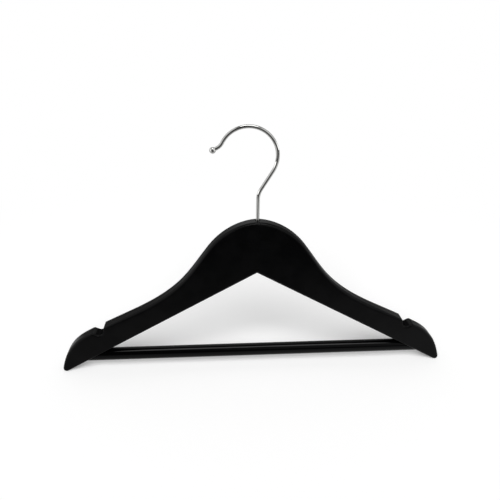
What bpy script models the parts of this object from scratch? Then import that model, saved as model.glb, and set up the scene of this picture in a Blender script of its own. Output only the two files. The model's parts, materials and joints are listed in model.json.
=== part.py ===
# A junior wooden hanger, 35 cm wide, that swivels under its wire hook.
# Two shaped boards meet in a finger joint in the head. A pressed-in steel sleeve in the head holds the
# upset foot of the hook, which turns in it, and a round trouser bar sits in a blind socket in each board.
# Sizes are in metres. X runs along the hanger, Y through the boards, Z up. While the pieces are drawn,
# x counts from the hook's stem and z from the line that the two tips touch. The finished model hangs
# with the crown of the hook's inner side, where a rail carries it, at the origin.

from math import acos, asin, atan2, cos, hypot, pi, radians, sin, tan

import bmesh
import bpy
from mathutils import Vector

mm = 0.001

# Boards
overall_width = 350.0 * mm
head_height = 141.2 * mm        # tips to the top of the head
head_depth = 46.6 * mm          # top of the head to the peak of the opening under it
board_thickness = 13.5 * mm
edge_round = 3.0 * mm
small_edge_round = 1.8 * mm      # round the notches and the tips
edge_run_out = 14.0 * mm        # from the small round to the full one
shoulder_angle = radians(26.66)
flank_angle = radians(52.8)     # steepest slope between head and shoulder
flank_out_share = 0.239         # of half the width
flank_height_share = 0.833      # of the head's height
shoulder_out_share = 0.605
shoulder_height_share = 0.417
crown_handle_shares = (0.173, 0.504)     # of the chord from the crown to the flank
saddle_handle_shares = (0.339, 0.525)    # of the chord from the flank to the shoulder
tip_radius = 2.9 * mm
tip_slope = radians(77)         # of the outer end just above the tip's round
tip_curve_length = 25.3 * mm    # along the shoulder's line, from where it leaves it to the outer end
tip_handle_shares = (0.34, 0.42)

# Strap notch, cut into the shoulder's line
notch_from_end = 39.6 * mm      # outer end to the notch's steep wall, at the shoulder's line
notch_width = 11.0 * mm         # along the shoulder's line
notch_depth = 7.2 * mm          # square to the shoulder's line
notch_floor_share = 0.48        # of the width, from the outer side
notch_wall_round = 2.1 * mm
notch_floor_round = 3.5 * mm
notch_crest_round = 3.0 * mm

# Finger joint in the head
finger_count = 3
finger_length = 8.0 * mm
finger_tip_width = 0.9 * mm
glue_gap = 0.3 * mm

# Trouser bar and its brads
bar_diameter = 11.4 * mm
bar_height = 13.6 * mm          # tips to the bar's centre
bar_seat = 13.0 * mm            # bar inside the arm, along the bar's middle
bar_chamfer = 0.8 * mm
fit_gap = 0.3 * mm              # round a piece in its seat
brad_seat = 6.5 * mm            # inner edge to the brad, along the bar's middle
brad_diameter = 1.2 * mm
brad_head_diameter = 2.2 * mm
brad_head_height = 0.5 * mm
brad_length = 8.0 * mm
brad_point_length = 1.4 * mm
brad_recess = 0.15 * mm         # brad head below the back of the board

# Hook: one wire with a ball at its tip and an upset foot
wire_diameter = 3.0 * mm
hook_inner_radius = 22.0 * mm
stem_rise = 18.4 * mm           # head to the first bend
stem_bend_radius = 16.9 * mm
stem_lean = radians(31.8)
lean_run = 17.3 * mm            # straight wire between the two bends
hook_sweep = radians(189)       # of the main bend
tip_bend_radius = 3.0 * mm
tip_turn = radians(39.4)
tip_run = 6.1 * mm              # end of the last bend to the ball's centre
ball_diameter = 5.2 * mm
foot_diameter = 4.6 * mm
foot_height = 1.8 * mm
foot_edge = 0.3 * mm

# Sleeve in the head
swivel_gap = 0.3 * mm           # wire to sleeve, and sleeve to foot
sleeve_wall = 0.7 * mm
sleeve_length = 16.0 * mm
sleeve_recess = 1.3 * mm        # top of the sleeve below the top of the head
barb_count = 4
barb_height = 0.35 * mm
barb_lead_share = 0.75          # of a barb's pitch that tapers
bore_end_room = 0.6 * mm        # under the foot

cut_overrun = 5.0 * mm          # cutters reach this far past what they cut

# Fineness
curve_steps = 16
round_steps = 6
edge_steps = 4
round_sides = 32
wire_sides = 16
bend_step = radians(5)

# Worked out
half_width = overall_width / 2
half_board = board_thickness / 2
wire_radius = wire_diameter / 2
hook_radius = hook_inner_radius + wire_radius
bar_radius = bar_diameter / 2
sleeve_inner_radius = wire_radius + swivel_gap
sleeve_core_radius = sleeve_inner_radius + sleeve_wall
sleeve_outer_radius = sleeve_core_radius + barb_height
bore_radius = sleeve_outer_radius + fit_gap
sleeve_top = head_height - sleeve_recess
sleeve_bottom = sleeve_top - sleeve_length
foot_top = sleeve_bottom - swivel_gap
foot_bottom = foot_top - foot_height
bore_bottom = foot_bottom - bore_end_room
peak_height = head_height - head_depth

# The shoulder's line, and the notch on it
shoulder = Vector((shoulder_out_share * half_width, shoulder_height_share * head_height))
downhill = Vector((cos(shoulder_angle), -sin(shoulder_angle)))
notch_wall_top = shoulder + downhill * ((half_width - notch_from_end - shoulder.x) / downhill.x)
notch_crest = notch_wall_top + downhill * notch_width

# The inner edge is the straight line from the peak that just touches the tip's round.
tip_centre_out = half_width - tip_radius
tip_centre_fall = peak_height - tip_radius
tip_centre_away = hypot(tip_centre_out, tip_centre_fall)
inner_edge_angle = -atan2(tip_centre_fall, tip_centre_out) - asin(tip_radius / tip_centre_away)
bar_entry_out = (bar_height - peak_height) / tan(inner_edge_angle)
bar_end_out = bar_entry_out + bar_seat
brad_out = bar_entry_out + brad_seat


def heading(angle):
    """Unit vector at an angle from +X towards +Z, in the plane of the board."""
    return Vector((cos(angle), sin(angle)))


def bezier(start, start_handle, end_handle, end, steps=curve_steps):
    points = []
    for i in range(steps + 1):
        t = i / steps
        s = 1 - t
        points.append(s ** 3 * start + 3 * s * s * t * start_handle
                      + 3 * s * t * t * end_handle + t ** 3 * end)
    return points


def fair_curve(start, start_angle, end, end_angle, handle_shares):
    """A curve between two points that leaves and arrives at given angles."""
    chord = (end - start).length
    return bezier(start, start + handle_shares[0] * chord * heading(start_angle),
                  end - handle_shares[1] * chord * heading(end_angle), end)


def fillet(before, corner, after, radius):
    """The arc that rounds a corner, limited to half of the shorter side."""
    back = (before - corner).normalized()
    on = (after - corner).normalized()
    half_angle = acos(max(-1, min(1, back.dot(on)))) / 2
    shorter = min((before - corner).length, (after - corner).length)
    radius = min(radius, shorter / 2 * tan(half_angle))
    centre = corner + (back + on).normalized() * (radius / sin(half_angle))
    first = corner + back * (radius / tan(half_angle)) - centre
    last = corner + on * (radius / tan(half_angle)) - centre
    turn = first.angle_signed(last)
    start = atan2(first.y, first.x)
    return [centre + radius * heading(start - turn * i / round_steps) for i in range(round_steps + 1)]


def board_half_outline():
    """One side of the board's outline, from the top of the head round the tip to the peak inside."""
    crown = Vector((0, head_height))
    flank = Vector((flank_out_share * half_width, flank_height_share * head_height))
    outline = fair_curve(crown, 0, flank, -flank_angle, crown_handle_shares)
    outline += fair_curve(flank, -flank_angle, shoulder, -shoulder_angle, saddle_handle_shares)[1:]

    floor = notch_crest - downhill * (notch_floor_share * notch_width)
    floor = floor + heading(-shoulder_angle - pi / 2) * notch_depth
    tip_centre = Vector((tip_centre_out, tip_radius))
    tip_start = tip_centre + tip_radius * heading(pi / 2 - tip_slope)
    leave = shoulder + downhill * ((tip_start.x - tip_curve_length * downhill.x - shoulder.x) / downhill.x)
    outline += fillet(shoulder, notch_wall_top, floor, notch_wall_round)
    outline += fillet(notch_wall_top, floor, notch_crest, notch_floor_round)
    outline += fillet(floor, notch_crest, leave, notch_crest_round)
    outline += fair_curve(leave, -shoulder_angle, tip_start, -tip_slope, tip_handle_shares)
    first = pi / 2 - tip_slope
    last = inner_edge_angle - pi / 2
    for i in range(1, round_steps + 1):
        outline.append(tip_centre + tip_radius * heading(first + (last - first) * i / round_steps))
    outline.append(Vector((0, peak_height)))
    return outline


def finish_mesh(name, bm, sharp_angle=radians(35)):
    bmesh.ops.recalc_face_normals(bm, faces=bm.faces)
    mesh = bpy.data.meshes.new(name)
    bm.to_mesh(mesh)
    bm.free()
    mesh.shade_smooth()
    mesh.set_sharp_from_angle(angle=sharp_angle)
    return mesh


def ring_mesh(name, rings, closed=False):
    """A skin over rings of points, where a ring of one point is a pole and a last open ring gets a cap."""
    bm = bmesh.new()
    rows = [[bm.verts.new(point) for point in ring] for ring in rings]
    pairs = list(zip(rows, rows[1:])) + ([(rows[-1], rows[0])] if closed else [])
    for low, high in pairs:
        for i in range(max(len(low), len(high))):
            corners = [low[i % len(low)], low[(i + 1) % len(low)],
                       high[(i + 1) % len(high)], high[i % len(high)]]
            bm.faces.new(list(dict.fromkeys(corners)))
    if not closed:
        for row in (rows[0], rows[-1]):
            if len(row) > 1:
                bm.faces.new(row)
    return finish_mesh(name, bm)


def turned_mesh(name, profile, closed=False, sides=round_sides):
    """A profile of radius and height pairs turned about Z."""
    rings = []
    for radius, height in profile:
        count = sides if radius else 1
        turns = [2 * pi * i / count for i in range(count)]
        rings.append([Vector((radius * cos(a), radius * sin(a), height)) for a in turns])
    return ring_mesh(name, rings, closed)


def edge_radius(point):
    """The round of the board's edges at a point of the outline: small at a notch or a tip, full elsewhere."""
    place = Vector((abs(point.x), point.y))
    share = 1
    for middle, reach in (((notch_wall_top + notch_crest) / 2, notch_width / 2),
                          (Vector((half_width, 0)), tip_radius)):
        share = min(share, max(0, (place - middle).length - reach) / edge_run_out)
    share = (1 - cos(pi * share)) / 2
    return small_edge_round + (edge_round - small_edge_round) * share


def board_mesh(name, outline):
    """The outline as thick as the board, set in ring by ring where the edges are rounded."""
    neighbours = zip(outline[-1:] + outline[:-1], outline, outline[1:] + outline[:1])
    ways_in = []
    for before, point, after in neighbours:
        way_in = (point - before).normalized()
        way_out = (after - point).normalized()
        side_in = Vector((way_in.y, -way_in.x))
        side_out = Vector((way_out.y, -way_out.x))
        mitre = (side_in + side_out).normalized()
        ways_in.append(mitre / mitre.dot(side_in))
    turns = [pi / 2 * i / edge_steps for i in range(edge_steps + 1)]
    rings = []
    for face, order in ((-1, turns), (1, turns[::-1])):
        for turn in order:
            ring = []
            for point, way_in in zip(outline, ways_in):
                radius = edge_radius(point)
                spot = point + way_in * (radius * (1 - sin(turn)))
                ring.append(Vector((spot.x, face * (half_board - radius * (1 - cos(turn))), spot.y)))
            rings.append(ring)
    return ring_mesh(name, rings)


def material(name, colour, roughness, metallic=0.0):
    made = bpy.data.materials.new(name)
    made.use_nodes = True
    shader = made.node_tree.nodes["Principled BSDF"]
    shader.inputs["Base Color"].default_value = (*colour, 1)
    shader.inputs["Roughness"].default_value = roughness
    shader.inputs["Metallic"].default_value = metallic
    made.diffuse_color = (*colour, 1)
    return made


def add_piece(name, mesh, finish, parent, location=(0, 0, 0), rotation=(0, 0, 0)):
    piece = bpy.data.objects.new(name, mesh)
    bpy.context.collection.objects.link(piece)
    piece.parent = parent
    piece.location = location
    piece.rotation_euler = rotation
    if finish:
        mesh.materials.append(finish)
    return piece


def add_cutter(name, mesh, parent, location=(0, 0, 0), rotation=(0, 0, 0)):
    cutter = add_piece(name, mesh, None, parent, location, rotation)
    cutter.hide_render = True
    cutter.display_type = "WIRE"
    return cutter


def cut(piece, cutter):
    modifier = piece.modifiers.new(cutter.name, "BOOLEAN")
    modifier.operation = "DIFFERENCE"
    modifier.solver = "EXACT"
    modifier.object = cutter


def rod_mesh(name, radius, length, chamfer=0):
    """A round rod that stands on the ground, both ends chamfered where a size is given."""
    profile = [(0, 0), (radius, 0), (radius, length), (0, length)]
    if chamfer:
        profile = [(0, 0), (radius - chamfer, 0), (radius, chamfer), (radius, length - chamfer),
                   (radius - chamfer, length), (0, length)]
    return turned_mesh(name, profile)


# Finger joint

def finger_line(offset):
    """The joint's zigzag through the board as x and y, set over by a distance square to it."""
    pitch = board_thickness / finger_count
    flank = pitch / 2 - finger_tip_width
    half_finger = finger_length / 2
    # The middle of a slope lies on each face of the board.
    low = -half_board - pitch - finger_tip_width - flank / 2
    middle = []
    for i in range(finger_count + 3):
        y = low + i * pitch
        middle += [Vector((-half_finger, y)), Vector((-half_finger, y + finger_tip_width)),
                   Vector((half_finger, y + finger_tip_width + flank)),
                   Vector((half_finger, y + 2 * finger_tip_width + flank))]
    line = []
    for before, point, after in zip(middle, middle[1:], middle[2:]):
        way_in = (point - before).normalized()
        way_out = (after - point).normalized()
        side_in = Vector((way_in.y, -way_in.x))
        side_out = Vector((way_out.y, -way_out.x))
        mitre = (side_in + side_out).normalized()
        line.append(point + mitre * (offset / mitre.dot(side_in)))
    return line


def finger_cutter(name, side, parent):
    """Everything on one side of the joint, as deep as the head."""
    line = finger_line(-side * glue_gap / 2)
    far = side * (half_width + cut_overrun)
    corners = line + [Vector((far, line[-1].y)), Vector((far, line[0].y))]
    rings = [[Vector((p.x, p.y, z)) for p in corners] for z in (-cut_overrun, head_height + cut_overrun)]
    return add_cutter(name, ring_mesh(name, rings), parent)


# Hook

def hook_stations():
    """Places along the wire's middle as position, heading and radius, from the foot to the ball."""
    stations = []

    def add(point, angle, radius=wire_radius):
        stations.append((point, angle, radius))

    def bend(point, angle, radius, turn):
        """Follow an arc, to the left where the turn is positive."""
        side = 1 if turn > 0 else -1
        centre = point + side * radius * heading(angle + pi / 2)
        count = max(2, round(abs(turn) / bend_step))
        for i in range(1, count + 1):
            now = angle + turn * i / count
            add(centre - side * radius * heading(now + pi / 2), now)
        return stations[-1][0], stations[-1][1]

    foot_radius = foot_diameter / 2
    for height, radius in ((foot_bottom, foot_radius - foot_edge), (foot_bottom + foot_edge, foot_radius),
                           (foot_top - foot_edge, foot_radius), (foot_top, foot_radius - foot_edge),
                           (foot_top, wire_radius)):
        add(Vector((0, height)), pi / 2, radius)
    add(Vector((0, head_height + stem_rise)), pi / 2)
    point, angle = bend(stations[-1][0], pi / 2, stem_bend_radius, -stem_lean)
    point = point + lean_run * heading(angle)
    add(point, angle)
    crown_centre = point + hook_radius * heading(angle + pi / 2)
    point, angle = bend(point, angle, hook_radius, hook_sweep)
    point, angle = bend(point, angle, tip_bend_radius, -tip_turn)
    ball_radius = ball_diameter / 2
    ball_centre = point + tip_run * heading(angle)
    first = pi - asin(wire_radius / ball_radius)
    for i in range(round_steps + 2):
        turn = first * (1 - i / (round_steps + 2))
        add(ball_centre + cos(turn) * ball_radius * heading(angle), angle, ball_radius * sin(turn))
    end = ball_centre + ball_radius * heading(angle)
    return stations, end, crown_centre


def hook_mesh(name, stations, end):
    rings = [[Vector((0, 0, foot_bottom))]]
    for point, angle, radius in stations:
        across = heading(angle - pi / 2)
        ring = []
        for i in range(wire_sides):
            turn = 2 * pi * i / wire_sides
            inplane = point + across * (radius * cos(turn))
            ring.append(Vector((inplane.x, radius * sin(turn), inplane.y)))
        rings.append(ring)
    rings.append([Vector((end.x, 0, end.y))])
    return ring_mesh(name, rings)


def sleeve_profile():
    """The sleeve's section: a plain bore and a row of barbs that let it go in and not come out."""
    pitch = sleeve_length / (barb_count + 1)
    profile = [(sleeve_inner_radius, sleeve_bottom), (sleeve_core_radius, sleeve_bottom)]
    for i in range(barb_count):
        low = sleeve_bottom + (i + 0.5) * pitch
        profile += [(sleeve_core_radius, low), (sleeve_outer_radius, low + barb_lead_share * pitch),
                    (sleeve_core_radius, low + barb_lead_share * pitch + barb_height)]
    return profile + [(sleeve_core_radius, sleeve_top), (sleeve_inner_radius, sleeve_top)]


def brad_profile():
    shank = brad_diameter / 2
    head = brad_head_diameter / 2
    return [(0, 0), (head, 0), (head, brad_head_height / 2), (shank, brad_head_height),
            (shank, brad_length - brad_point_length), (0, brad_length)]


def brad_hole_profile():
    """The hole from outside the board, wide as far as the brad's head and narrow from there."""
    shank = brad_diameter / 2 + fit_gap
    head = brad_head_diameter / 2 + fit_gap
    step = brad_head_height + fit_gap
    bottom = brad_length + fit_gap
    return [(0, -cut_overrun), (head, -cut_overrun), (head, step), (shank, step),
            (shank, bottom), (0, bottom)]


def build():
    for old in list(bpy.data.objects):
        bpy.data.objects.remove(old)

    board_lacquer = material("board_lacquer", (0.009, 0.009, 0.010), 0.34)
    bar_lacquer = material("bar_lacquer", (0.006, 0.006, 0.006), 0.16)
    hook_chrome = material("hook_chrome", (0.78, 0.78, 0.77), 0.10, 1.0)
    sleeve_steel = material("sleeve_steel", (0.42, 0.41, 0.39), 0.32, 1.0)
    brad_steel = material("brad_steel", (0.30, 0.30, 0.30), 0.38, 1.0)

    stations, wire_end, crown_centre = hook_stations()
    seat = crown_centre + Vector((0, hook_inner_radius))
    swivel = bpy.data.objects.new("swivel_axis", None)
    bpy.context.collection.objects.link(swivel)
    swivel.location = (-seat.x, 0, -seat.y)

    add_piece("hook", hook_mesh("hook", stations, wire_end), hook_chrome, swivel)
    sleeve = turned_mesh("hook_sleeve", sleeve_profile(), closed=True)
    add_piece("hook_sleeve", sleeve, sleeve_steel, swivel)

    half = board_half_outline()
    outline = half + [Vector((-p.x, p.y)) for p in reversed(half[1:-1])]

    rod = rod_mesh("trouser_bar", bar_radius, 2 * bar_end_out, bar_chamfer)
    bar = add_piece("trouser_bar", rod, bar_lacquer, swivel, (-bar_end_out, 0, bar_height), (0, pi / 2, 0))
    drill = rod_mesh("sleeve_bore", bore_radius, head_height + cut_overrun - bore_bottom)
    bore = add_cutter("sleeve_bore", drill, swivel, (0, 0, bore_bottom))
    socket_out = bar_end_out + fit_gap
    drill = rod_mesh("bar_socket", bar_radius + fit_gap, 2 * socket_out)
    socket = add_cutter("bar_socket", drill, swivel, (-socket_out, 0, bar_height), (0, pi / 2, 0))
    brad_hole = brad_hole_profile()
    for name, side in (("left", -1), ("right", 1)):
        board = add_piece(name + "_arm", board_mesh(name + "_arm", outline), board_lacquer, swivel)
        cut(board, finger_cutter(name + "_finger_cut", -side, swivel))
        cut(board, bore)
        cut(board, socket)
        place = (side * brad_out, half_board - brad_recess, bar_height)
        drill = turned_mesh(name + "_brad_hole", brad_hole, sides=wire_sides)
        hole = add_cutter(name + "_brad_hole", drill, swivel, place, (pi / 2, 0, 0))
        cut(board, hole)
        cut(bar, hole)
        pin = turned_mesh("bar_pin_" + name, brad_profile(), sides=wire_sides)
        add_piece("bar_pin_" + name, pin, brad_steel, swivel, place, (pi / 2, 0, 0))


build()
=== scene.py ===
import json
from math import acos, asin, atan2, cos, pi, radians, sin, tan

import bmesh
import bpy
from mathutils import Matrix, Vector


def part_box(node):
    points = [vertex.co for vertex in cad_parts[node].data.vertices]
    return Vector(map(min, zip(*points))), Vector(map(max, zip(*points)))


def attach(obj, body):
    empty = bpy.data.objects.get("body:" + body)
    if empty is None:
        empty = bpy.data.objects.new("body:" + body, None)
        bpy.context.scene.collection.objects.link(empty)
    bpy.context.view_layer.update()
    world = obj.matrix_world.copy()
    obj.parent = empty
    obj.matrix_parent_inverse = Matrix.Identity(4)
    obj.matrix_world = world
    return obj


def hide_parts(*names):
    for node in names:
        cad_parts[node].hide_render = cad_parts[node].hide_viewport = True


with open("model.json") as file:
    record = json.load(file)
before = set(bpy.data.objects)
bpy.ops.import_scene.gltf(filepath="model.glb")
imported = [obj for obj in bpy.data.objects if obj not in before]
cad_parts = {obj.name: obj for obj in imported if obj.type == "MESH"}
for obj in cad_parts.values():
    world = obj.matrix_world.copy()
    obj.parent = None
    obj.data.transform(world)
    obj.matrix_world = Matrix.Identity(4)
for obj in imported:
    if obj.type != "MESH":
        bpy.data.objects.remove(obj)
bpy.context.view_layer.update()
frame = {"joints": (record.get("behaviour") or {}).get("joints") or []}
mm = 0.001
stemX = frame["joints"][0]["pos_m"][0]      # the swivel's axis is the middle of the boards
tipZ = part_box("left_arm")[0].z              # the two tips touch the floor here
print("frame loaded, stem at", round(stemX / mm, 2), "mm, tips at", round(tipZ / mm, 2), "mm")


# Shader maths: a Signal is a node's output that can stand in a sum

class Signal:
    def __init__(self, tree, socket):
        self.tree = tree
        self.socket = socket

    def maths(self, operation, *values):
        return node(self.tree, "ShaderNodeMath", {"operation": operation}, dict(enumerate(values)))

    def __add__(self, other):
        return self.maths("ADD", self, other)

    def __sub__(self, other):
        return self.maths("SUBTRACT", self, other)

    def __mul__(self, other):
        return self.maths("MULTIPLY", self, other)

    def __truediv__(self, other):
        return self.maths("DIVIDE", self, other)

    def __rsub__(self, other):
        return self.maths("SUBTRACT", other, self)

    def __abs__(self):
        return self.maths("ABSOLUTE", self)

    __radd__ = __add__
    __rmul__ = __mul__

    def above(self, limit):
        return self.maths("GREATER_THAN", self, limit)

    def ramp(self, start, end):             # 0 at start, 1 at end, smooth between
        return node(self.tree, "ShaderNodeMapRange", {"interpolation_type": "SMOOTHSTEP"},
                    {"Value": self, "From Min": start, "From Max": end})


def node(tree, kind, settings, sockets, output=0):
    made = tree.nodes.new(kind)
    for name, value in settings.items():
        setattr(made, name, value)
    for name, value in sockets.items():
        if isinstance(value, Signal):
            tree.links.new(value.socket, made.inputs[name])
        else:
            made.inputs[name].default_value = value
    return Signal(tree, made.outputs[output])


def blendOf(first, second, factor):         # two numbers mixed by a factor
    return factor * (second - first) + first


def mixColours(tree, first, second, factor):
    return node(tree, "ShaderNodeMix", {"data_type": "RGBA"},
                {0: factor, 6: (*first, 1), 7: (*second, 1)}, 2)


def mixShaders(tree, first, second, factor):
    return node(tree, "ShaderNodeMixShader", {}, {0: factor, 1: first, 2: second})


def splitPlace(tree, output="Object"):
    place = node(tree, "ShaderNodeTexCoord", {}, {}, output)
    parts = node(tree, "ShaderNodeSeparateXYZ", {}, {0: place})
    outputs = parts.socket.node.outputs
    return [Signal(tree, outputs[i]) for i in range(3)]


def joinPlace(tree, x, y, z):
    return node(tree, "ShaderNodeCombineXYZ", {}, {"X": x, "Y": y, "Z": z})


def noise(tree, place, scale, detail=2.0, roughness=0.5):
    return node(tree, "ShaderNodeTexNoise", {},
                {"Vector": place, "Scale": scale, "Detail": detail, "Roughness": roughness})


def swing(noisy, reach):                    # a noise varies about 0.5
    return (noisy - 0.5) * reach


def newMaterial(name, settings):            # what is the same all over sits on the shader's own sockets
    material = bpy.data.materials.new(name)
    material.use_nodes = True
    tree = material.node_tree
    shader = tree.nodes["Principled BSDF"]
    for socket, value in settings.items():
        shader.inputs[socket].default_value = value
    return material, tree, shader


def bumpInto(tree, shader, height, distance):
    bump = node(tree, "ShaderNodeBump", {}, {"Height": height, "Distance": distance})
    tree.links.new(bump.socket, shader.inputs["Normal"])


def feed(tree, shader, name, signal):
    tree.links.new(signal.socket, shader.inputs[name])


# Plane geometry, as x and z seen from the front

def heading(angle):
    return Vector((cos(angle), sin(angle)))


def fairCurve(start, startAngle, end, endAngle, shares, steps):
    chord = (end - start).length
    a = start + shares[0] * chord * heading(startAngle)
    b = end - shares[1] * chord * heading(endAngle)
    points = []
    for i in range(steps + 1):
        t = i / steps
        s = 1 - t
        points.append(s ** 3 * start + 3 * s * s * t * a + 3 * s * t * t * b + t ** 3 * end)
    return points


def fillet(before, corner, after, radius, steps):
    back = (before - corner).normalized()
    on = (after - corner).normalized()
    halfAngle = acos(max(-1, min(1, back.dot(on)))) / 2
    shorter = min((before - corner).length, (after - corner).length)
    radius = min(radius, shorter / 2 * tan(halfAngle))
    centre = corner + (back + on).normalized() * (radius / sin(halfAngle))
    first = corner + back * (radius / tan(halfAngle)) - centre
    last = corner + on * (radius / tan(halfAngle)) - centre
    turn = first.angle_signed(last)
    start = atan2(first.y, first.x)
    return [centre + radius * heading(start - turn * i / steps) for i in range(steps + 1)]


def quarterTurns(steps):
    return [pi / 2 * i / steps for i in range(steps + 1)]


def mitreAt(before, point, after):           # the way in at a corner, and its share square to the sides
    into = (point - before).normalized()
    out = (after - point).normalized()
    sideIn = Vector((into.y, -into.x))
    sideOut = Vector((out.y, -out.x))
    mitre = (sideIn + sideOut).normalized()
    return mitre, mitre.dot(sideIn)


# Mesh helpers

def meshFrom(name, bm):
    bmesh.ops.recalc_face_normals(bm, faces=bm.faces)
    mesh = bpy.data.meshes.new(name)
    bm.to_mesh(mesh)
    bm.free()
    mesh.shade_smooth()
    return mesh


def skin(name, rings, closed=False):        # a ring of one point is a pole, a ring left open gets a cap
    bm = bmesh.new()
    rows = [[bm.verts.new(point) for point in ring] for ring in rings]
    pairs = list(zip(rows, rows[1:]))
    if closed:
        pairs.append((rows[-1], rows[0]))
    for low, high in pairs:
        for i in range(max(len(low), len(high))):
            corners = [low[i % len(low)], low[(i + 1) % len(low)],
                       high[(i + 1) % len(high)], high[i % len(high)]]
            bm.faces.new(list(dict.fromkeys(corners)))
    if not closed:
        for row in (rows[0], rows[-1]):
            if len(row) > 1:
                bm.faces.new(row)
    return meshFrom(name, bm)


def turned(name, profile, sides, closed=False):     # radius and height pairs, turned about Z
    rings = []
    for radius, height in profile:
        count = sides if radius else 1
        turns = [2 * pi * i / count for i in range(count)]
        rings.append([Vector((radius * cos(a), radius * sin(a), height)) for a in turns])
    return skin(name, rings, closed)


def addPiece(name, mesh, material=None):
    piece = bpy.data.objects.new(name, mesh)
    bpy.context.scene.collection.objects.link(piece)
    if material:
        mesh.materials.clear()
        mesh.materials.append(material)
    return piece


def settled(piece):                          # the piece with its modifiers worked into a plain mesh
    view = bpy.context.evaluated_depsgraph_get()
    mesh = bpy.data.meshes.new_from_object(piece.evaluated_get(view), depsgraph=view)
    made = bpy.data.objects.new(piece.name, mesh)
    name = piece.name
    bpy.data.objects.remove(piece)
    made.name = name
    bpy.context.scene.collection.objects.link(made)
    return made


def carve(piece, cutters):
    for cutter in cutters:
        modifier = piece.modifiers.new(cutter.name, "BOOLEAN")
        modifier.operation = "DIFFERENCE"
        modifier.solver = "EXACT"
        modifier.object = cutter
    return settled(piece)


# Boards: the outline of part.py with finer steps and softly rounded rims

boards = dict(
    width=349.9 * mm,                        # just inside the solids
    headHeight=141.2 * mm, headDepth=46.6 * mm, thickness=13.5 * mm,
    edgeRound=3 * mm, smallRound=1.8 * mm, roundRunOut=14 * mm,      # small round the notches and the tips
    shoulderAngle=radians(26.66), flankAngle=radians(52.8),
    flankShares=(0.239, 0.833), shoulderShares=(0.605, 0.417),       # of half the width and of the head
    crownHandleShares=(0.173, 0.504), saddleHandleShares=(0.339, 0.525),
    tipRadius=2.9 * mm, tipSlope=radians(77), tipCurve=25.3 * mm, tipHandleShares=(0.34, 0.42),
    notchFromEnd=39.55 * mm, notchWidth=11 * mm, notchDepth=7.2 * mm, notchFloorShare=0.48,
    notchRounds=(2.1 * mm, 3.5 * mm, 3 * mm), peakRound=0.7 * mm,
    flatRim=0.08 * mm,                       # keeps the flats flat beside the rounds
    curveSteps=44, roundSteps=12, rimSteps=8, sharp=radians(28))

lacquer = dict(
    dark=(0.0005, 0.0005, 0.0006), light=(0.0012, 0.0012, 0.0013), specular=0.14,
    roughness=0.30, streakRoughness=0.10, cloudRoughness=0.05,
    grainSlope=radians(28), grainLength=26 * mm, grainWidth=0.55 * mm, grainDepth=0.010 * mm,
    grainDetail=3.0, grainBreak=0.6, armShift=3.7,
    cloudSize=16 * mm, cloudEdge=(0.35, 0.65), peelSize=1.6 * mm, peelDetail=1.0, peelDepth=0.004 * mm,
    # painted shade inside the notches: a lower specular level and a rougher finish, with its reach and its
    # fade at the faces
    dullSpecular=0.03, dullRoughness=0.5, dullReach=(3.6 * mm, 4.6 * mm), dullSide=(4.6 * mm, 5.4 * mm))


def boardHalf():
    b = boards
    half = b["width"] / 2
    height = b["headHeight"]
    slope = -b["shoulderAngle"]
    crown = Vector((0, height))
    flank = Vector((b["flankShares"][0] * half, b["flankShares"][1] * height))
    shoulder = Vector((b["shoulderShares"][0] * half, b["shoulderShares"][1] * height))
    downhill = heading(slope)
    steps = b["curveSteps"]
    points = fairCurve(crown, 0, flank, -b["flankAngle"], b["crownHandleShares"], steps)
    points += fairCurve(flank, -b["flankAngle"], shoulder, slope, b["saddleHandleShares"], steps)[1:]

    wallTop = shoulder + downhill * ((half - b["notchFromEnd"] - shoulder.x) / downhill.x)
    crest = wallTop + downhill * b["notchWidth"]
    floor = crest - downhill * (b["notchFloorShare"] * b["notchWidth"])
    floor += heading(slope - pi / 2) * b["notchDepth"]
    b["notchMiddle"] = (wallTop + crest) / 2         # the rounds and the lacquer go by it
    tipCentre = Vector((half - b["tipRadius"], b["tipRadius"]))
    tipStart = tipCentre + b["tipRadius"] * heading(pi / 2 - b["tipSlope"])
    leave = shoulder + downhill * ((tipStart.x - b["tipCurve"] * downhill.x - shoulder.x) / downhill.x)
    wallRound, floorRound, crestRound = b["notchRounds"]
    points += fillet(shoulder, wallTop, floor, wallRound, b["roundSteps"])
    points += fillet(wallTop, floor, crest, floorRound, b["roundSteps"])
    points += fillet(floor, crest, leave, crestRound, b["roundSteps"])
    points += fairCurve(leave, slope, tipStart, -b["tipSlope"], b["tipHandleShares"], steps)

    peak = Vector((0, height - b["headDepth"]))
    toTip = tipCentre - peak
    edgeAngle = atan2(toTip.y, toTip.x) - asin(b["tipRadius"] / toTip.length)
    first = pi / 2 - b["tipSlope"]
    last = edgeAngle - pi / 2
    for i in range(1, b["roundSteps"] + 1):
        points.append(tipCentre + b["tipRadius"] * heading(first + (last - first) * i / b["roundSteps"]))
    mirrored = peak + heading(pi - edgeAngle)
    peakRound = fillet(points[-1], peak, mirrored, b["peakRound"], b["roundSteps"])
    points += peakRound[:b["roundSteps"] // 2 + 1]   # up to the middle, where the other half takes over
    return points


def boardLoop():                             # the whole outline in the world's x and z
    half = boardHalf()
    around = half + [Vector((-p.x, p.y)) for p in reversed(half[1:-1])]
    return [Vector((stemX + p.x, tipZ + p.y)) for p in around]


def inwards(loop):                           # the way in at each point, that moves both its sides by one
    ways = []
    for before, point, after in zip(loop[-1:] + loop[:-1], loop, loop[1:] + loop[:1]):
        mitre, square = mitreAt(before, point, after)
        ways.append(mitre / square)
    return ways


def rimRound(point):                         # the edges' round at a point of the outline
    b = boards
    half = b["width"] / 2
    place = Vector((abs(point.x - stemX), point.y - tipZ))
    share = 1
    for middle, reach in ((b["notchMiddle"], b["notchWidth"] / 2), (Vector((half, 0)), b["tipRadius"])):
        away = (place - middle).length - reach
        share = min(share, max(0, away / b["roundRunOut"]))
    share = (1 - cos(pi * share)) / 2
    return b["smallRound"] + (b["edgeRound"] - b["smallRound"]) * share


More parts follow.
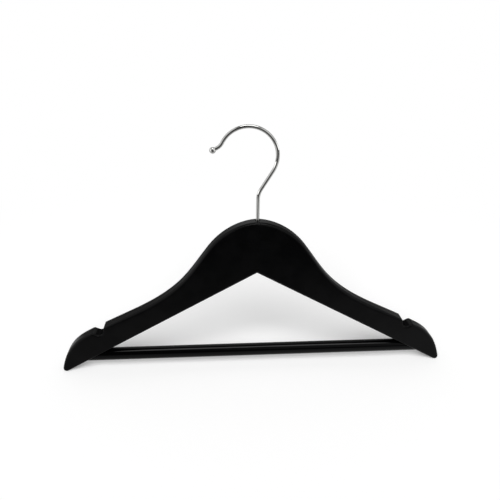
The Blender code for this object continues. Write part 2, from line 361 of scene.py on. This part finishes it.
def boardSlab():
    b = boards
    loop = boardLoop()
    ways = inwards(loop)
    rounds = [rimRound(point) for point in loop]
    depth = b["thickness"] / 2
    section = [(1, b["flatRim"], 0, 0)]      # shares of the round and lengths, inwards and from the face
    section += [(1 - sin(turn), 0, 1 - cos(turn), 0) for turn in quarterTurns(b["rimSteps"])]
    section.append((0, 0, 1, b["flatRim"]))
    rings = []
    for side, steps in ((-1, section), (1, section[::-1])):
        for share, more, deepShare, deeper in steps:
            ring = []
            for point, way, radius in zip(loop, ways, rounds):
                spot = point + way * (share * radius + more)
                ring.append(Vector((spot.x, side * (depth - deepShare * radius - deeper), spot.y)))
            rings.append(ring)
    return skin("slab", rings)


boardMesh = boardSlab()
print("boards: outline of", len(boardLoop()), "points")


def lacquerMaterial():
    q = lacquer
    material, tree, shader = newMaterial("blackLacquer", {"Specular IOR Level": q["specular"]})
    x, y, z = splitPlace(tree)
    out = abs(x - stemX)
    side = x.above(stemX) * q["armShift"]    # each arm is its own piece of wood
    along = out * cos(q["grainSlope"]) - z * sin(q["grainSlope"])
    across = out * sin(q["grainSlope"]) + z * cos(q["grainSlope"])
    width = q["grainWidth"]
    grainPlace = joinPlace(tree, along / q["grainLength"] + side, across / width, y / width)
    grain = noise(tree, grainPlace, 1.0, q["grainDetail"], q["grainBreak"])
    clouds = noise(tree, joinPlace(tree, x, y, z), 1 / q["cloudSize"])
    peel = noise(tree, joinPlace(tree, x, y, z), 1 / q["peelSize"], q["peelDetail"])
    feed(tree, shader, "Base Color", mixColours(tree, q["dark"], q["light"], clouds.ramp(*q["cloudEdge"])))
    roughness = q["roughness"] + swing(grain, q["streakRoughness"]) + swing(clouds, q["cloudRoughness"])
    feed(tree, shader, "Roughness", roughness)
    height = grain * (q["grainDepth"] / mm) + peel * (q["peelDepth"] / mm)
    bumpInto(tree, shader, height, mm)

    # Painted shade in the notches: their insides get a much lower specular level, which darkens the recess,
    # and a rougher finish
    notchShade = node(tree, "ShaderNodeBsdfPrincipled", {}, {
        "Base Color": (*q["dark"], 1), "Specular IOR Level": q["dullSpecular"],
        "Roughness": q["dullRoughness"]})
    middle = boards["notchMiddle"] + heading(-boards["shoulderAngle"] - pi / 2) * boards["notchDepth"] / 2
    away = node(tree, "ShaderNodeVectorMath", {"operation": "LENGTH"},
                {0: joinPlace(tree, out - middle.x, 0.0, z - tipZ - middle.y)}, "Value")
    # where the painted notch shade lies: near the notch's middle, fading towards both faces
    notchShadeMask = (1 - away.ramp(*q["dullReach"])) * (1 - abs(y).ramp(*q["dullSide"]))
    mixed = mixShaders(tree, Signal(tree, shader.outputs[0]), notchShade, notchShadeMask)
    tree.links.new(mixed.socket, tree.nodes["Material Output"].inputs["Surface"])
    return material


# Finger joint: the two boards interlock in the head

fingers = dict(
    count=3, spare=3,                        # the spare ones run past both faces
    length=8 * mm, tipWidth=0.9 * mm, glueLine=0.03 * mm)
holes = dict(
    boreRadius=3.15 * mm, boreFloor=20 * mm, boreLip=1.1 * mm, boreMouth=0.3 * mm, mouthRadius=2.1 * mm,
    mouthSteps=6, barRoom=0.05 * mm, bradRadius=1.15 * mm, bradDepth=0.7 * mm, bradSides=32,
    overrun=5 * mm, sides=64)


def fingerLine(offset):                      # the zigzag through the thickness, set over square to itself
    pitch = boards["thickness"] / fingers["count"]
    flank = pitch / 2 - fingers["tipWidth"]
    reach = fingers["length"] / 2
    low = -boards["thickness"] / 2 - pitch - fingers["tipWidth"] - flank / 2
    middle = []
    for i in range(fingers["count"] + fingers["spare"]):
        y = low + i * pitch
        middle += [Vector((-reach, y)), Vector((-reach, y + fingers["tipWidth"])),
                   Vector((reach, y + fingers["tipWidth"] + flank)),
                   Vector((reach, y + 2 * fingers["tipWidth"] + flank))]
    line = []
    for before, point, after in zip(middle, middle[1:], middle[2:]):
        mitre, square = mitreAt(before, point, after)
        line.append(point + mitre * (offset / square))
    return line


def fingerCutter(side):                      # all of the other board's share of the slab
    line = fingerLine(-side * fingers["glueLine"] / 2)
    far = side * (boards["width"] / 2 + holes["overrun"])
    corners = list(line) + [Vector((far, line[-1].y)), Vector((far, line[0].y))]
    low = tipZ - holes["overrun"]
    high = tipZ + boards["headHeight"] + holes["overrun"]
    rings = [[Vector((stemX + p.x, p.y, z)) for p in corners] for z in (low, high)]
    return addPiece("fingerCutter", skin("fingerCutter", rings))


def boreCutter():                            # the hook's hole: a lip of wood covers the sleeve
    h = holes
    top = tipZ + boards["headHeight"]
    profile = [(0, top - h["boreFloor"]), (h["boreRadius"], top - h["boreFloor"]),
               (h["boreRadius"], top - h["boreLip"]), (h["mouthRadius"], top - h["boreLip"])]
    for turn in quarterTurns(h["mouthSteps"]):
        profile.append((h["mouthRadius"] + h["boreMouth"] * (1 - cos(turn)),
                        top - h["boreMouth"] * (1 - sin(turn))))
    wide = h["mouthRadius"] + h["boreMouth"]
    profile += [(wide, top + h["overrun"]), (0, top + h["overrun"])]
    mesh = turned("boreCutter", profile, h["sides"])
    mesh.transform(Matrix.Translation((stemX, 0, 0)))
    return addPiece("boreCutter", mesh)


def socketCutter():                          # one rod cuts the socket in both boards
    h = holes
    reach = (barBox[1].x - barBox[0].x) / 2 + h["barRoom"]
    radius = (barBox[1].z - barBox[0].z) / 2 + h["barRoom"]
    profile = [(0, -reach), (radius, -reach), (radius, reach), (0, reach)]
    mesh = turned("socketCutter", profile, h["sides"])
    mesh.transform(Matrix.Translation((barBox[0] + barBox[1]) / 2) @ Matrix.Rotation(pi / 2, 4, "Y"))
    return addPiece("socketCutter", mesh)


def bradCutter(place):                       # the shallow seat that a brad's head is driven into
    h = holes
    profile = [(0, -h["bradDepth"]), (h["bradRadius"], -h["bradDepth"]),
               (h["bradRadius"], h["overrun"]), (0, h["overrun"])]
    mesh = turned("bradCutter", profile, h["bradSides"])
    back = Vector((place.x, boards["thickness"] / 2, place.z))
    mesh.transform(Matrix.Translation(back) @ Matrix.Rotation(-pi / 2, 4, "X"))
    return addPiece("bradCutter", mesh)


blackLacquer = lacquerMaterial()
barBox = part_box("trouser_bar")
bradPlaces = {}
for name in ("left", "right"):
    low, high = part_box("bar_pin_" + name)
    bradPlaces[name] = (low + high) / 2

for name, side in (("left", -1), ("right", 1)):
    cutters = [fingerCutter(-side), boreCutter(), socketCutter(), bradCutter(bradPlaces[name])]
    board = carve(addPiece(name + "Board", boardMesh.copy(), blackLacquer), cutters)
    board.data.set_sharp_from_angle(angle=boards["sharp"])
    for cutter in cutters:
        bpy.data.objects.remove(cutter)
    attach(board, "hanger")
    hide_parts(name + "_arm")
    print(board.name, "made with", len(board.data.polygons), "faces")


# Trouser bar

bar = dict(chamfer=0.8 * mm, sides=96, rings=60, sharp=radians(30))
barGloss = dict(
    colour=(0.0005, 0.0005, 0.0006), specular=0.18, roughness=0.11, streakRoughness=0.08,
    streakLength=24 * mm, streakWidth=0.8 * mm, streakDepth=0.014 * mm, streakDetail=3.0,
    swellLength=7 * mm, swellDepth=0.028 * mm, swellDetail=1.0)


def barMaterial():
    q = barGloss
    material, tree, shader = newMaterial("barLacquer", {"Base Color": (*q["colour"], 1),
                                                        "Specular IOR Level": q["specular"]})
    x, y, z = splitPlace(tree)
    width = q["streakWidth"]
    streakPlace = joinPlace(tree, x / q["streakLength"], y / width, z / width)
    streaks = noise(tree, streakPlace, 1.0, q["streakDetail"])
    length = q["swellLength"]
    swell = noise(tree, joinPlace(tree, x / length, y / length, z / length), 1.0, q["swellDetail"])
    feed(tree, shader, "Roughness", q["roughness"] + swing(streaks, q["streakRoughness"]))
    bumpInto(tree, shader, streaks * (q["streakDepth"] / mm) + swell * (q["swellDepth"] / mm), mm)
    return material


def trouserBar():
    low, high = barBox
    radius = (high.z - low.z) / 2
    length = high.x - low.x
    chamfer = bar["chamfer"]
    rings = bar["rings"]
    profile = [(0, 0), (radius - chamfer, 0), (radius, chamfer)]
    inner = length - 2 * chamfer
    profile += [(radius, chamfer + inner * i / rings) for i in range(1, rings + 1)]
    profile += [(radius - chamfer, length), (0, length)]
    mesh = turned("trouserBar", profile, bar["sides"])
    mesh.transform(Matrix.Translation((low.x, 0, (low.z + high.z) / 2)) @ Matrix.Rotation(pi / 2, 4, "Y"))
    mesh.set_sharp_from_angle(angle=bar["sharp"])
    piece = addPiece("trouserBar", mesh, barMaterial())
    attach(piece, "hanger")
    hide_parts("trouser_bar")


trouserBar()
print("trouser bar made")


# Geometry Nodes: a wire drawn along a path, as thick as the path's points say

def treeWith(name, inputs):
    tree = bpy.data.node_groups.new(name, "GeometryNodeTree")
    tree.interface.new_socket("Geometry", in_out="OUTPUT", socket_type="NodeSocketGeometry")
    tree.interface.new_socket("Geometry", in_out="INPUT", socket_type="NodeSocketGeometry")
    identifiers = {}
    for label, kind in inputs.items():
        made = tree.interface.new_socket(label, in_out="INPUT", socket_type=kind)
        identifiers[label] = made.identifier
    entry = tree.nodes.new("NodeGroupInput")
    return tree, {socket.name: Signal(tree, socket) for socket in entry.outputs if socket.name}, identifiers


def finishTree(tree, geometry, material):
    real = node(tree, "GeometryNodeRealizeInstances", {}, {"Geometry": geometry})
    painted = node(tree, "GeometryNodeSetMaterial", {}, {"Geometry": real, "Material": material})
    leave = tree.nodes.new("NodeGroupOutput")
    tree.links.new(painted.socket, leave.inputs[0])


def wireTree():
    sockets = {"Sides": "NodeSocketInt", "Material": "NodeSocketMaterial"}
    tree, given, identifiers = treeWith("drawnWire", sockets)
    ring = node(tree, "GeometryNodeCurvePrimitiveCircle", {}, {"Resolution": given["Sides"], "Radius": 1.0})
    thick = node(tree, "GeometryNodeInputRadius", {}, {})
    tube = node(tree, "GeometryNodeCurveToMesh", {}, {"Curve": given["Geometry"], "Profile Curve": ring,
                                                      "Scale": thick, "Fill Caps": True})
    smooth = node(tree, "GeometryNodeSetShadeSmooth", {}, {"Geometry": tube})
    finishTree(tree, smooth, given["Material"])
    return tree, identifiers


def grown(name, start, tree, identifiers, values):   # an object with a tree on it, turned into a plain mesh
    start.name = name
    modifier = start.modifiers.new(tree.name, "NODES")
    modifier.node_group = tree
    for label, value in values.items():
        modifier[identifiers[label]] = value
    bpy.context.view_layer.update()
    return settled(start)


# Hook: one chromed wire from its upset foot to the ball at its tip

hook = dict(
    wire=1.5 * mm, innerRadius=21.95 * mm, stemRise=18.4 * mm, stemBend=16.9 * mm, stemLean=radians(31.8),
    leanRun=17.3 * mm, sweep=radians(185.04), tipBend=9 * mm, tipTurn=radians(35.44), tipRun=4.07 * mm,
    ball=2.6 * mm, neckRound=0.7 * mm, foot=2.3 * mm, footHeight=1.8 * mm, footEdge=0.3 * mm,
    flat=0.02 * mm,                          # fall of the foot's two flats, and the ball's last ring
    sides=40, bendStep=radians(2.5), straightStep=1.5 * mm, neckSteps=6, ballSteps=18, sharp=radians(50))

chrome = dict(
    colour=(0.83, 0.83, 0.81), roughness=0.10, cloudRoughness=0.05, cloudSize=9 * mm,
    scratchRoughness=0.06, scratchSize=0.5 * mm, scratchEdge=(0.55, 0.8), dentDepth=0.004 * mm)


def chromeMaterial():
    q = chrome
    material, tree, shader = newMaterial("hookChrome", {"Base Color": (*q["colour"], 1), "Metallic": 1.0})
    x, y, z = splitPlace(tree)
    place = joinPlace(tree, x, y, z)
    clouds = noise(tree, place, 1 / q["cloudSize"])
    scratches = noise(tree, place, 1 / q["scratchSize"]).ramp(*q["scratchEdge"])
    roughness = q["roughness"] + swing(clouds, q["cloudRoughness"]) + scratches * q["scratchRoughness"]
    feed(tree, shader, "Roughness", roughness)
    bumpInto(tree, shader, clouds * (q["dentDepth"] / mm), mm)
    return material


def hookPath():                              # points and radii in x and z from the stem's axis and the tips
    h = hook
    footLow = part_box("hook")[0].z - tipZ
    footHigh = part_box("hook")[0].z - tipZ + h["footHeight"]
    path = []

    def add(point, radius=h["wire"]):
        path.append((point.copy(), radius))

    def straight(point, angle, length):
        count = max(1, round(length / h["straightStep"]))
        for i in range(1, count + 1):
            add(point + length * i / count * heading(angle))
        return point + length * heading(angle)

    def bend(point, angle, radius, turn):
        side = 1 if turn > 0 else -1
        centre = point + side * radius * heading(angle + pi / 2)
        count = max(2, round(abs(turn) / h["bendStep"]))
        for i in range(1, count + 1):
            add(centre - side * radius * heading(angle + turn * i / count + pi / 2))
        return path[-1][0], angle + turn

    edge = h["footEdge"]
    flat = h["flat"]
    for height, radius in ((footLow, flat), (footLow + flat, h["foot"] - edge), (footLow + edge, h["foot"]),
                           (footHigh - edge, h["foot"]), (footHigh - flat, h["foot"] - edge),
                           (footHigh, h["wire"])):
        add(Vector((0, height)), radius)
    point = straight(Vector((0, footHigh)), pi / 2, boards["headHeight"] + h["stemRise"] - footHigh)
    point, angle = bend(point, pi / 2, h["stemBend"], -h["stemLean"])
    point = straight(point, angle, h["leanRun"])
    radius = h["innerRadius"] + h["wire"]
    crown = point + radius * heading(angle + pi / 2)
    point, angle = bend(point, angle, radius, h["sweep"])
    point, angle = bend(point, angle, h["tipBend"], -h["tipTurn"])

    # The wire runs into the ball through a small hollow neck
    ball, wire, neck = h["ball"], h["wire"], h["neckRound"]
    centre = point + h["tipRun"] * heading(angle)
    joint = asin((wire + neck) / (ball + neck))
    neckAt = -(ball + neck) * cos(joint)
    straight(point, angle, h["tipRun"] + neckAt)
    for i in range(1, h["neckSteps"] + 1):
        turn = (pi / 2 - joint) * i / h["neckSteps"]
        add(centre + (neckAt + neck * sin(turn)) * heading(angle), wire + neck * (1 - cos(turn)))
    for i in range(1, h["ballSteps"] + 1):
        turn = joint + (pi - joint) * i / h["ballSteps"]
        add(centre - ball * cos(turn) * heading(angle), max(ball * sin(turn), flat))
    return path, crown + Vector((0, h["innerRadius"]))


def drawnWire(path):
    curve = bpy.data.curves.new("hookPath", "CURVE")
    curve.dimensions = "3D"
    spline = curve.splines.new("POLY")
    spline.points.add(len(path) - 1)
    for point, (place, radius) in zip(spline.points, path):
        point.co = (stemX + place.x, 0, tipZ + place.y, 1)
        point.radius = radius
    return bpy.data.objects.new("hookPath", curve)


path, seat = hookPath()
offX, offZ = round((stemX + seat.x) / mm, 3), round((tipZ + seat.y) / mm, 3)
print("hook: crown is off the frame's origin by", offX, offZ, "mm")
wire = drawnWire(path)
bpy.context.scene.collection.objects.link(wire)
tree, identifiers = wireTree()
values = {"Sides": hook["sides"], "Material": chromeMaterial()}
hookWire = grown("hookWire", wire, tree, identifiers, values)
hookWire.data.set_sharp_from_angle(angle=hook["sharp"])
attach(hookWire, "hook_wire")
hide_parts("hook")
print("hook made with", len(hookWire.data.polygons), "faces")


# Sleeve: pressed into the head, its barbs hidden in the wood

sleeve = dict(inner=1.8 * mm, wall=0.7 * mm, barbs=4, barbHeight=0.35 * mm, barbLeadShare=0.75,
              lip=0.2 * mm, lipSteps=4, sides=64, sharp=radians(30))
steel = dict(dark=(0.16, 0.16, 0.155), light=(0.42, 0.41, 0.39), roughness=0.34, cloudSize=1.2 * mm,
             cloudRoughness=0.12, cloudDetail=3.0, cloudEdge=(0.3, 0.7), dentDepth=0.004 * mm)


def steelMaterial(name):
    q = steel
    material, tree, shader = newMaterial(name, {"Metallic": 1.0})
    x, y, z = splitPlace(tree)
    clouds = noise(tree, joinPlace(tree, x, y, z), 1 / q["cloudSize"], q["cloudDetail"])
    feed(tree, shader, "Base Color", mixColours(tree, q["dark"], q["light"], clouds.ramp(*q["cloudEdge"])))
    feed(tree, shader, "Roughness", q["roughness"] + swing(clouds, q["cloudRoughness"]))
    bumpInto(tree, shader, clouds * (q["dentDepth"] / mm), mm)
    return material


def sleevePiece():
    s = sleeve
    low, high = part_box("hook_sleeve")
    core = s["inner"] + s["wall"]
    pitch = (high.z - low.z) / (s["barbs"] + 1)
    profile = [(s["inner"], low.z), (core, low.z)]
    for i in range(s["barbs"]):
        start = low.z + (i + 0.5) * pitch
        lead = start + s["barbLeadShare"] * pitch
        profile += [(core, start), (core + s["barbHeight"], lead), (core, lead + s["barbHeight"])]
    turns = quarterTurns(s["lipSteps"])
    for turn in turns:
        profile.append((core - s["lip"] * (1 - cos(turn)), high.z - s["lip"] * (1 - sin(turn))))
    for turn in turns:
        profile.append((s["inner"] + s["lip"] * (1 - sin(turn)), high.z - s["lip"] * (1 - cos(turn))))
    mesh = turned("hookSleeve", profile, s["sides"], closed=True)
    mesh.transform(Matrix.Translation((stemX, 0, 0)))
    mesh.set_sharp_from_angle(angle=sleeve["sharp"])
    piece = addPiece("hookSleeve", mesh, steelMaterial("sleeveSteel"))
    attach(piece, "hanger")
    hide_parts("hook_sleeve")


sleevePiece()
print("sleeve made")


# Brads: one drawn nail set on a point for each end of the bar

brad = dict(head=1.1 * mm, headHeight=0.5 * mm, crown=0.12 * mm, crownSteps=6, shank=0.6 * mm,
            point=1.4 * mm, sides=32, sharp=radians(40))


def bradMesh(length):                        # stands on its head, which is slightly domed
    b = brad
    profile = [(0, -b["crown"])]
    for turn in quarterTurns(b["crownSteps"])[1:]:
        profile.append((b["head"] * sin(turn), -b["crown"] * cos(turn)))
    profile += [(b["head"], b["headHeight"] / 2), (b["shank"], b["headHeight"]),
                (b["shank"], length - b["point"]), (0, length)]
    mesh = turned("brad", profile, b["sides"])
    mesh.transform(Matrix.Rotation(pi / 2, 4, "X"))
    mesh.set_sharp_from_angle(angle=b["sharp"])
    return mesh


def bradTree(pattern):
    tree, given, identifiers = treeWith("setBrads", {"Material": "NodeSocketMaterial"})
    nail = node(tree, "GeometryNodeObjectInfo", {}, {"Object": pattern}, "Geometry")
    placed = node(tree, "GeometryNodeInstanceOnPoints", {}, {"Points": given["Geometry"], "Instance": nail})
    finishTree(tree, placed, given["Material"])
    return tree, identifiers


def bradPieces():
    low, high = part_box("bar_pin_left")
    pattern = addPiece("bradPattern", bradMesh(high.y - low.y))
    bm = bmesh.new()
    for place in bradPlaces.values():
        bm.verts.new((place.x, high.y, place.z))
    start = addPiece("brads", meshFrom("bradPlaces", bm))
    tree, identifiers = bradTree(pattern)
    brads = grown("brads", start, tree, identifiers, {"Material": steelMaterial("bradSteel")})
    bpy.data.objects.remove(pattern)
    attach(brads, "hanger")
    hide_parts("bar_pin_left", "bar_pin_right")


bradPieces()
print("brads made")


# Studio: a white floor, one soft key lamp, an even sky, and a room that only reflections see

camera = dict(place=(-30.42 * mm, -406.76 * mm, 74.48 * mm), yaw=radians(4.59), pitch=radians(23.53),
              roll=radians(-0.79), lens=37.44, sensor=36, nearest=10 * mm)

# Glow is what reflections see of the floor: near and far in front, behind, and at both sides
floor = dict(size=12.0, albedo=0.90, lift=0.13, white=(0.32, 0.60),
             nearGlow=0.48, farGlow=0.08, backFar=0.18, frontFade=(0.04, 0.23), rightGain=1.2,
             backEdge=(0.0, 0.04), backGlow=0.60, backFade=(0.25, 0.45), sideGlow=0.60,
             sideFade=(0.17, 0.27), sideReach=(0.30, 0.50))
keyLamp = dict(strength=3.2, softness=radians(48), azimuth=radians(-8), elevation=radians(42))

# The room by direction, x to the right, y back and z up: a window behind, two side walls, a dark front,
# a strip overhead, a card up at the front right, and a low horizon
room = dict(
    ambient=0.30, walls=0.07, ceiling=0.05, ceilingEdge=(0.3, 0.6),
    window=0.58, windowWay=(0, 0.8, 0.6), windowEdge=(0.80, 0.94), reach=(0.0, 0.55),
    right=0.40, rightEdge=(0.3, 0.6), rightTop=(0.75, 0.88),
    left=0.60, leftEdge=(0.20, 0.50), leftTop=(0.84, 0.94), sideBack=(0.5, 0.8),
    front=0.8, frontEdge=(0.45, 0.75),
    strip=3.6, stripMiddle=(0.08, -0.26), stripHalf=(0.30, 0.12), stripSoft=0.08, stripHeight=(0.80, 0.88),
    card=0.34, cardWay=(0.50, -0.65, 0.57), cardEdge=(0.80, 0.95),
    horizon=0.10, horizonSides=1.0, horizonEdge=(0.75, 0.95), horizonTop=(0.08, 0.32))


def lightPath(tree):
    rays = node(tree, "ShaderNodeLightPath", {}, {})
    seen, glossy, through = [Signal(tree, rays.socket.node.outputs[name]) for name in
                             ("Is Camera Ray", "Is Glossy Ray", "Is Transmission Ray")]
    return seen, glossy.maths("MAXIMUM", glossy, through)


def emission(tree, strength):
    return node(tree, "ShaderNodeEmission", {}, {"Color": (1, 1, 1, 1), "Strength": strength})


def floorMaterial():
    f = floor
    material = bpy.data.materials.new("whiteFloor")
    material.use_nodes = True
    tree = material.node_tree
    tree.nodes.remove(tree.nodes["Principled BSDF"])
    seen, mirrored = lightPath(tree)
    x, y, z = splitPlace(tree)
    away = node(tree, "ShaderNodeVectorMath", {"operation": "LENGTH"},
                {0: joinPlace(tree, x, y, 0.0)}, "Value")
    near = f["nearGlow"] + x * (f["rightGain"] * f["nearGlow"])
    inFront = blendOf(near, f["farGlow"], (0 - y).ramp(*f["frontFade"]))
    behind = blendOf(inFront, f["backGlow"], y.ramp(*f["backEdge"]))
    side = abs(x - stemX).ramp(*f["sideFade"]) * (1 - (0 - y).ramp(*f["sideReach"]))
    glow = blendOf(blendOf(behind, f["sideGlow"], side), f["backFar"], y.ramp(*f["backFade"]))
    matte = node(tree, "ShaderNodeBsdfDiffuse", {}, {"Color": (f["albedo"], f["albedo"], f["albedo"], 1)})
    lit = node(tree, "ShaderNodeAddShader", {}, {0: matte, 1: emission(tree, seen * f["lift"])})
    faded = mixShaders(tree, lit, emission(tree, 1.0), away.ramp(*f["white"]) * seen)
    surface = mixShaders(tree, faded, emission(tree, glow), mirrored)
    tree.links.new(surface.socket, tree.nodes["Material Output"].inputs["Surface"])
    return material


def floorPiece():
    reach = floor["size"] / 2
    bm = bmesh.new()
    corners = [bm.verts.new((x * reach, y * reach, tipZ)) for x, y in ((-1, -1), (1, -1), (1, 1), (-1, 1))]
    bm.faces.new(corners)
    addPiece("floor", meshFrom("floor", bm), floorMaterial())


def studioWorld():
    r = room
    world = bpy.data.worlds.new("studio")
    bpy.context.scene.world = world
    world.use_nodes = True
    tree = world.node_tree
    seen, mirrored = lightPath(tree)
    way = node(tree, "ShaderNodeTexCoord", {}, {}, "Generated")
    x, y, z = splitPlace(tree, "Generated")
    window, card = [
        node(tree, "ShaderNodeVectorMath", {"operation": "DOT_PRODUCT"},
             {0: way, 1: Vector(r[name]).normalized()}, "Value")
        for name in ("windowWay", "cardWay")]
    front = (0 - y).ramp(*r["frontEdge"])
    right = x.ramp(*r["rightEdge"]) * (1 - z.ramp(*r["rightTop"])) * r["right"]
    left = (0 - x).ramp(*r["leftEdge"]) * (1 - z.ramp(*r["leftTop"])) * r["left"]
    sides = (left + right) * (1 - y.ramp(*r["sideBack"]))
    strip = z.ramp(*r["stripHeight"])
    for along, middle, half in zip((x, y), r["stripMiddle"], r["stripHalf"]):
        strip = strip * (1 - abs(along - middle).ramp(half, half + r["stripSoft"]))
    walls = blendOf(r["walls"], r["ceiling"], z.ramp(*r["ceilingEdge"]))
    level = x.maths("SQRT", 1 - x * x)
    back = (window / level).ramp(*r["windowEdge"]) * (1 - abs(x).ramp(*r["reach"])) * r["window"]
    horizon = blendOf(r["horizon"], r["horizonSides"], abs(x).ramp(*r["horizonEdge"]))
    low = (1 - z.ramp(*r["horizonTop"])) * horizon
    dim = (walls + back + low + sides) * (1 - front * r["front"])
    reflected = dim + strip * r["strip"] + card.ramp(*r["cardEdge"]) * r["card"]
    strength = blendOf(blendOf(r["ambient"], reflected, mirrored), 1.0, seen)
    background = tree.nodes["Background"]
    background.inputs["Color"].default_value = (1, 1, 1, 1)
    tree.links.new(strength.socket, background.inputs["Strength"])


def keyLight():
    k = keyLamp
    light = bpy.data.lights.new("keyLamp", "SUN")
    light.energy = k["strength"]
    light.angle = k["softness"]
    lamp = bpy.data.objects.new("keyLamp", light)
    bpy.context.scene.collection.objects.link(lamp)
    towards = Vector((sin(k["azimuth"]) * cos(k["elevation"]), -cos(k["azimuth"]) * cos(k["elevation"]),
                      sin(k["elevation"])))
    lamp.rotation_mode = "QUATERNION"
    lamp.rotation_quaternion = towards.to_track_quat("Z", "Y")
    lamp.visible_glossy = False


def photoCamera():
    c = camera
    lens = bpy.data.cameras.new("camera")
    lens.lens = c["lens"]
    lens.sensor_width = c["sensor"]
    lens.clip_start = c["nearest"]
    eye = bpy.data.objects.new("camera", lens)
    bpy.context.scene.collection.objects.link(eye)
    turn = Matrix.Rotation(-c["yaw"], 4, "Z") @ Matrix.Rotation(pi / 2 - c["pitch"], 4, "X")
    eye.matrix_world = Matrix.Translation(c["place"]) @ turn @ Matrix.Rotation(-c["roll"], 4, "Z")
    bpy.context.scene.camera = eye


floorPiece()
studioWorld()
keyLight()
photoCamera()
bpy.context.scene.view_settings.view_transform = "Standard"
print("studio set")
